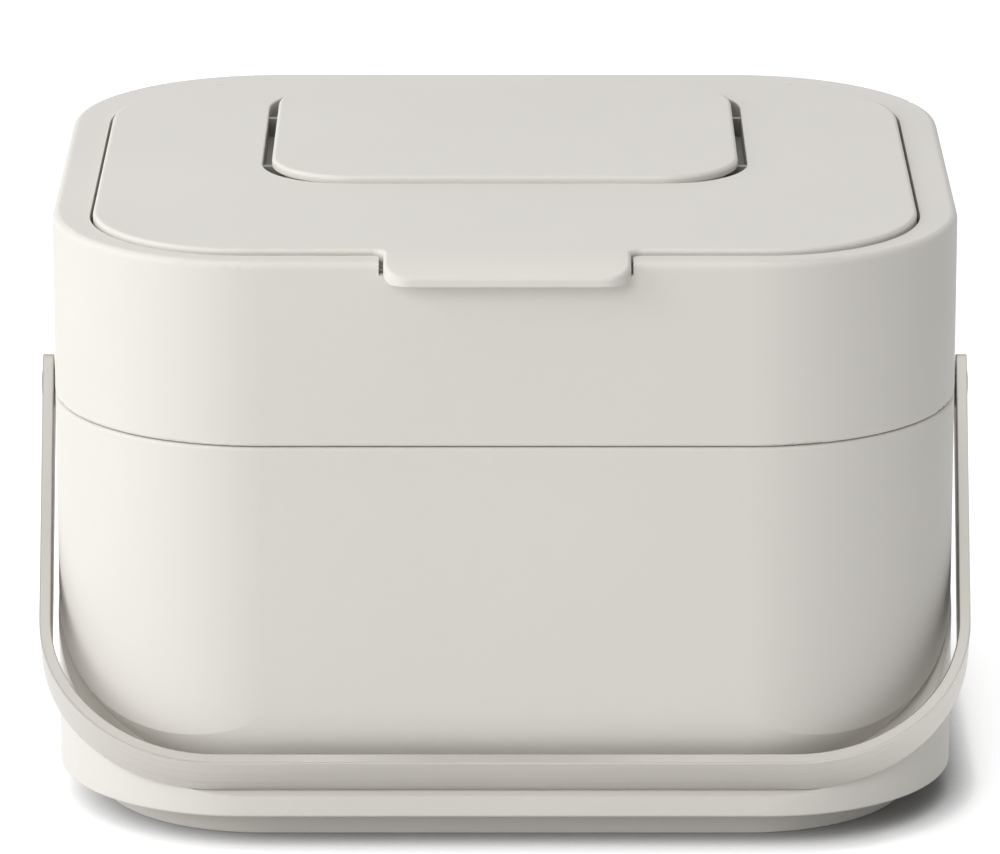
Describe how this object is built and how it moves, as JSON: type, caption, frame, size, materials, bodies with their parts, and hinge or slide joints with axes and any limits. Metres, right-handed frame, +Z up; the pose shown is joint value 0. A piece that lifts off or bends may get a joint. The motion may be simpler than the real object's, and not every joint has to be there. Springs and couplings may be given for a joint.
{
  "type": "stackable recycling bin",
  "caption": "Compact stackable bin with rounded corners, a lift-off collar, a flip lid with a raised vent cover and filter, and a steel strip handle that swings over the top.",
  "frame": {"origin": "on the floor, under the middle of the whole object's box", "axes": "+X to the right, +Y from the lift tab's side to the lid hinge's side, +Z up"},
  "size_m": [0.2548, 0.2154, 0.1643],
  "materials": {
    "shell_plastic": "matte",
    "inner_plastic": "satin",
    "filter_felt": "felt",
    "seal_rubber": "soft",
    "strip_steel": "brushed",
    "pin_steel": "turned",
    "bush_plastic": "satin"
  },
  "bodies": {
    "bucket": {"bucket": "shell_plastic", "foot_ring": "shell_plastic", "pivot_bush_left": "bush_plastic", "pivot_bush_right": "bush_plastic"},
    "handle": {"handle_strap": "strip_steel", "pivot_stud_left": "pin_steel", "pivot_stud_right": "pin_steel", "pivot_cap_left": "bush_plastic", "pivot_cap_right": "bush_plastic"},
    "collar": {"collar": "shell_plastic"},
    "lid": {"lid_panel": "shell_plastic", "lid_liner": "inner_plastic", "lid_seal": "seal_rubber", "vent_grille": "inner_plastic", "hinge_pin_left": "pin_steel", "hinge_pin_right": "pin_steel"},
    "vent_cover": {"vent_cover": "shell_plastic"},
    "filter": {"filter_tray": "inner_plastic", "filter_pad": "filter_felt"}
  },
  "joints": [
    {"name": "handle_swing", "type": "hinge", "parent": "bucket", "child": "handle", "pos_m": [0, 0.00275, 0.0983], "axis": [-1, 0, 0], "range_deg": [0, 245]},
    {"name": "collar_lift", "type": "slide", "parent": "bucket", "child": "collar", "axis": [0, 0, 1], "range_m": [0, 0.08]},
    {"name": "lid_flip", "type": "hinge", "parent": "collar", "child": "lid", "pos_m": [0, 0.08835, 0.1601], "axis": [-1, 0, 0], "range_deg": [0, 95]},
    {"name": "vent_cover_pull", "type": "slide", "parent": "lid", "child": "vent_cover", "axis": [0, 0, 1], "range_m": [0, 0.012]},
    {"name": "filter_tray_drop", "type": "slide", "parent": "lid", "child": "filter", "axis": [0, 0, -1], "range_m": [0, 0.03]}
  ]
}
